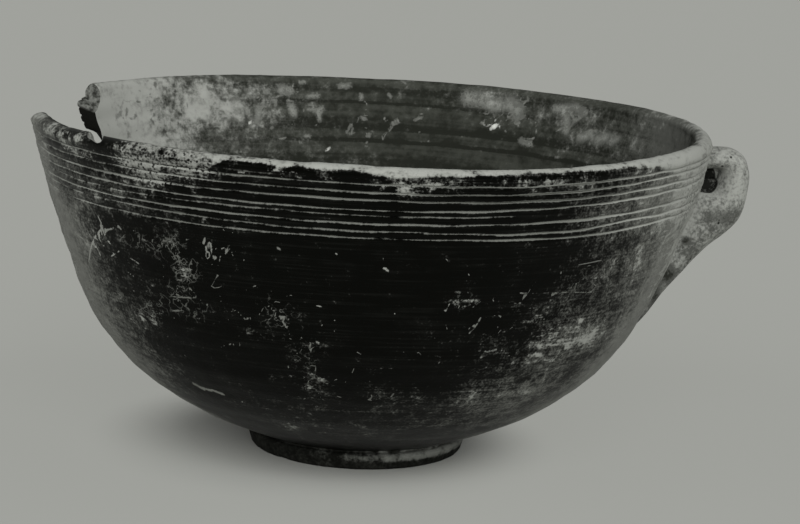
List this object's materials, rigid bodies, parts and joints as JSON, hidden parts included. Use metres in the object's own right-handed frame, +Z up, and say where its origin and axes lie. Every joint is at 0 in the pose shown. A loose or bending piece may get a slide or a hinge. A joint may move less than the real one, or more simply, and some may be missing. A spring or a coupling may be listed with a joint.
{
  "type": "handled bowl",
  "caption": "Deep open ceramic bowl on a low ring foot, with a loop handle set under the rim and incised lines round the lip, for holding food or drink.",
  "frame": {"origin": "on the bowl's axis, in the plane that the foot ring stands on, 1 mm under the pad inside the ring", "axes": "+Z up along the bowl's axis, +X towards the handle"},
  "size_m": [0.2153, 0.2, 0.0993],
  "materials": {
    "bowl_wall": "dark burnished slip, worn, with pale lime crust",
    "foot": "dark slip, rubbed pale on the edge",
    "handle": "worn grey fabric under lime crust",
    "luting_slip": "matt fired slip"
  },
  "bodies": {
    "root": {"bowl_body": "bowl_wall", "foot_ring": "foot", "foot_luting": "luting_slip", "handle": "handle", "handle_upper_luting": "luting_slip", "handle_lower_luting": "luting_slip"}
  },
  "joints": []
}
